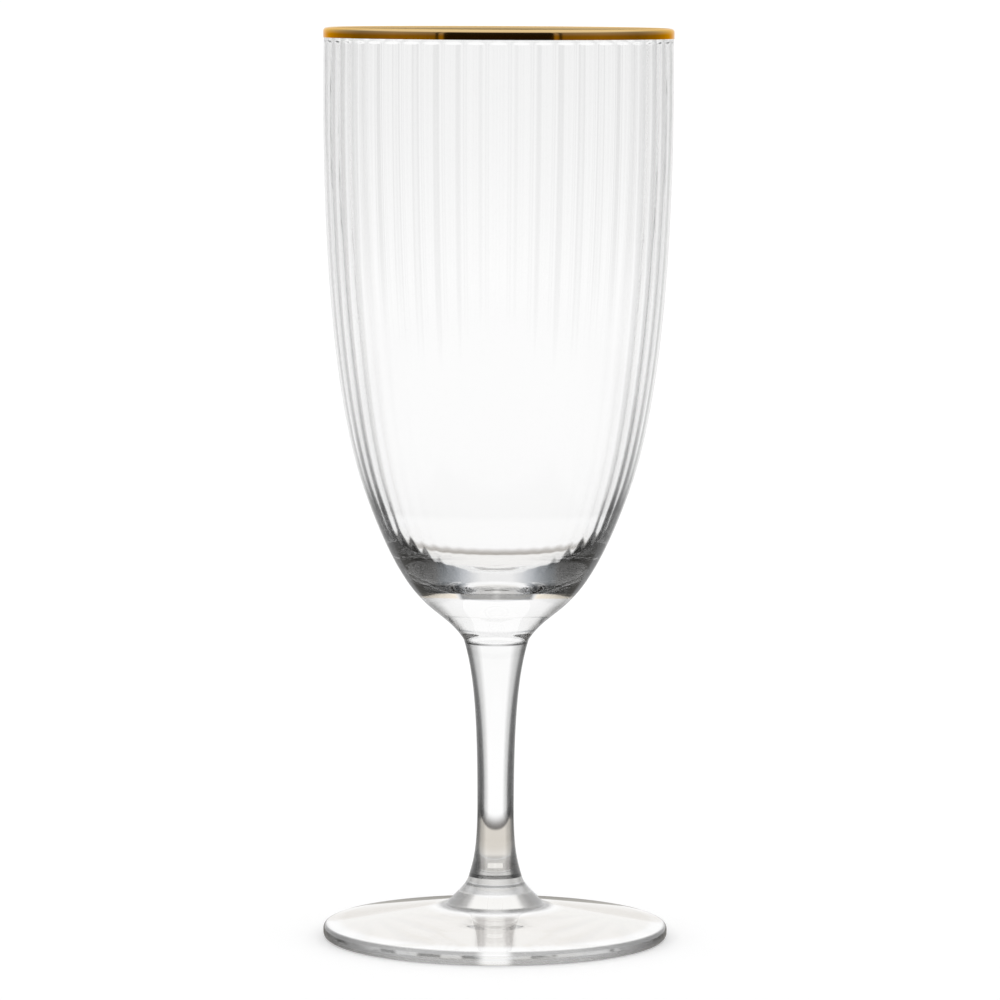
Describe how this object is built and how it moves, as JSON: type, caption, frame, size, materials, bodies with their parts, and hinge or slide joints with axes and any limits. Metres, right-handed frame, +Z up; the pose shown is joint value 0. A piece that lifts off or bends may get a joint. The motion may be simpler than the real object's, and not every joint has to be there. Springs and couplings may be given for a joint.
{
  "type": "water goblet",
  "caption": "Stemmed water goblet: tall clear glass bowl with fine upright ribs inside, drawn solid stem, round foot and a thin gold band over the lip.",
  "frame": {"origin": "on the table under the middle of the foot", "axes": "+Z up along the axis of the stem and bowl; X and Y across the foot, all directions alike"},
  "size_m": [0.0778, 0.0778, 0.2032],
  "materials": {
    "glass": "clear polished soda-lime glass",
    "gold": "bright fired gold lustre"
  },
  "bodies": {
    "root": {"foot": "glass", "stem": "glass", "bowl": "glass", "rim_band": "gold"}
  },
  "joints": []
}
